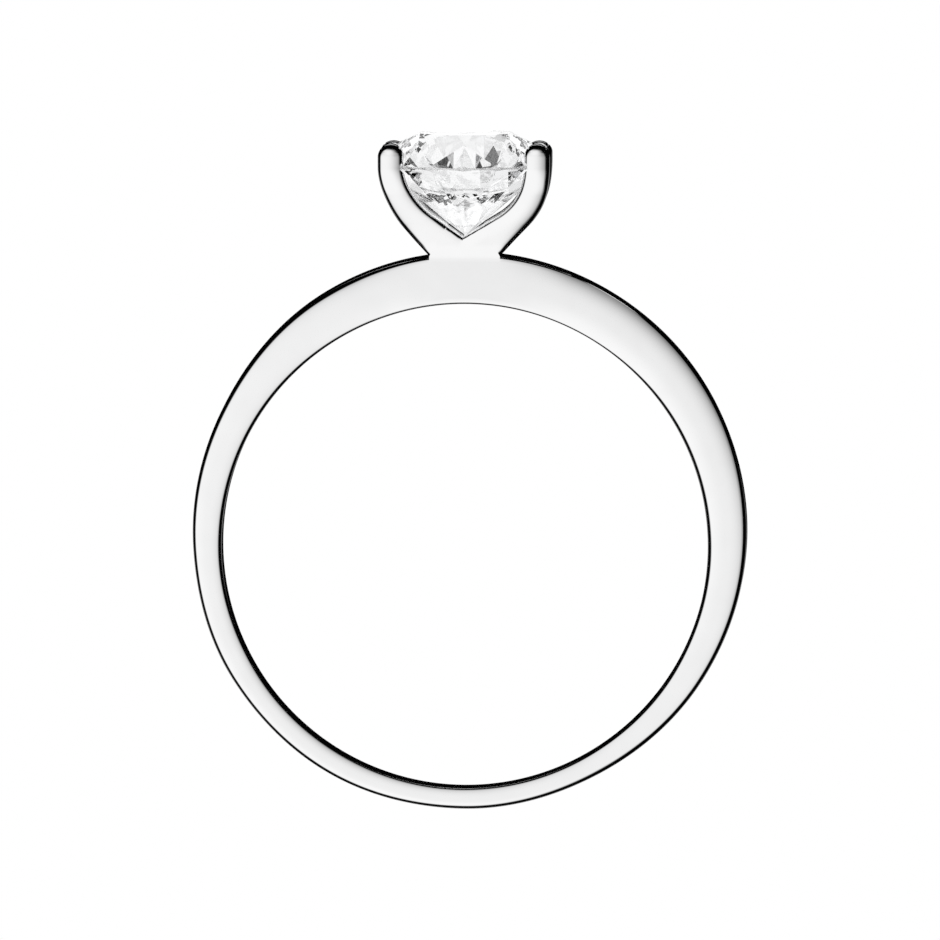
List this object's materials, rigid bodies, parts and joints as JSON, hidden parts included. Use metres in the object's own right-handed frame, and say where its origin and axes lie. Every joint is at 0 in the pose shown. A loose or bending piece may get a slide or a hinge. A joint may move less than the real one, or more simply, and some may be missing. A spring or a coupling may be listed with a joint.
{
  "type": "engagement ring",
  "caption": "Solitaire finger ring: a tapering polished white-metal band with a claw head holding a round brilliant-cut clear stone.",
  "frame": {"origin": "centre of the finger hole", "axes": "+Z from the finger hole up through the stone, Y along the finger with the front of the ring at -Y, +X to the wearer's right seen from the front"},
  "size_m": [0.0188, 0.0058, 0.0229],
  "materials": {
    "white_metal": "mirror polished platinum or rhodium-plated white gold",
    "peg_metal": "filed white metal, hidden inside the joint",
    "diamond": "polished flat facets, colourless and clear"
  },
  "bodies": {
    "root": {"shank": "white_metal", "head_base": "white_metal", "locating_peg": "peg_metal", "left_web": "white_metal", "right_web": "white_metal", "front_left_claw": "white_metal", "front_right_claw": "white_metal", "rear_left_claw": "white_metal", "rear_right_claw": "white_metal", "diamond": "diamond"}
  },
  "joints": []
}
